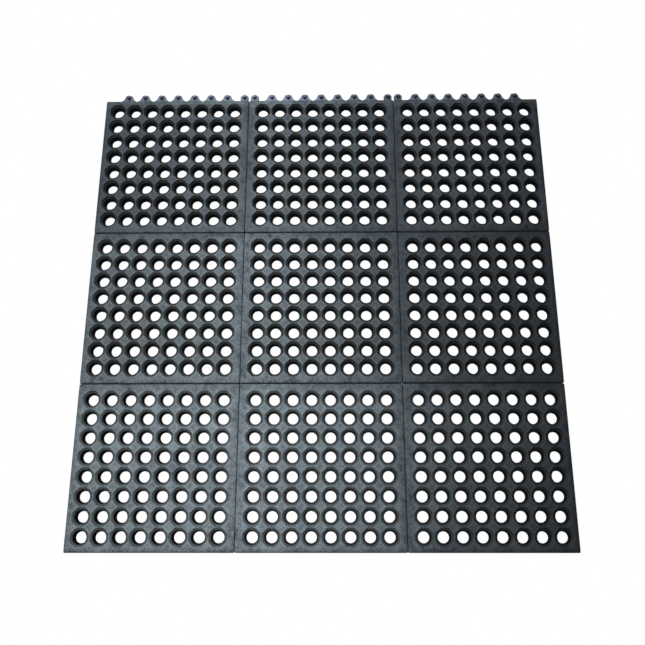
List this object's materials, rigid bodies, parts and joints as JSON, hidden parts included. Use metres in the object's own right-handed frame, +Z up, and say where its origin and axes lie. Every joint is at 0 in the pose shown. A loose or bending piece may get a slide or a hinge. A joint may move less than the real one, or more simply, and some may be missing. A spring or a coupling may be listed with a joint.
{
  "type": "anti fatigue mat",
  "caption": "Flat square rubber drainage mat of joined tiles, pierced all over by octagonal holes, with small studded joining tabs along its back edge.",
  "frame": {"origin": "on the floor, at the centre of the whole outline with the joining tabs included", "axes": "+Z up, from the floor to the standing surface; +Y towards the back edge, the one with the tabs; +X towards the right edge"},
  "size_m": [0.9144, 0.9344, 0.0159],
  "materials": {
    "rubber": "matt moulded black rubber with a fine grain"
  },
  "bodies": {
    "root": {"tile_front_left": "rubber", "tile_front_centre": "rubber", "tile_front_right": "rubber", "tile_middle_left": "rubber", "tile_middle_centre": "rubber", "tile_middle_right": "rubber", "tile_back_left": "rubber", "tile_back_centre": "rubber", "tile_back_right": "rubber"}
  },
  "joints": []
}
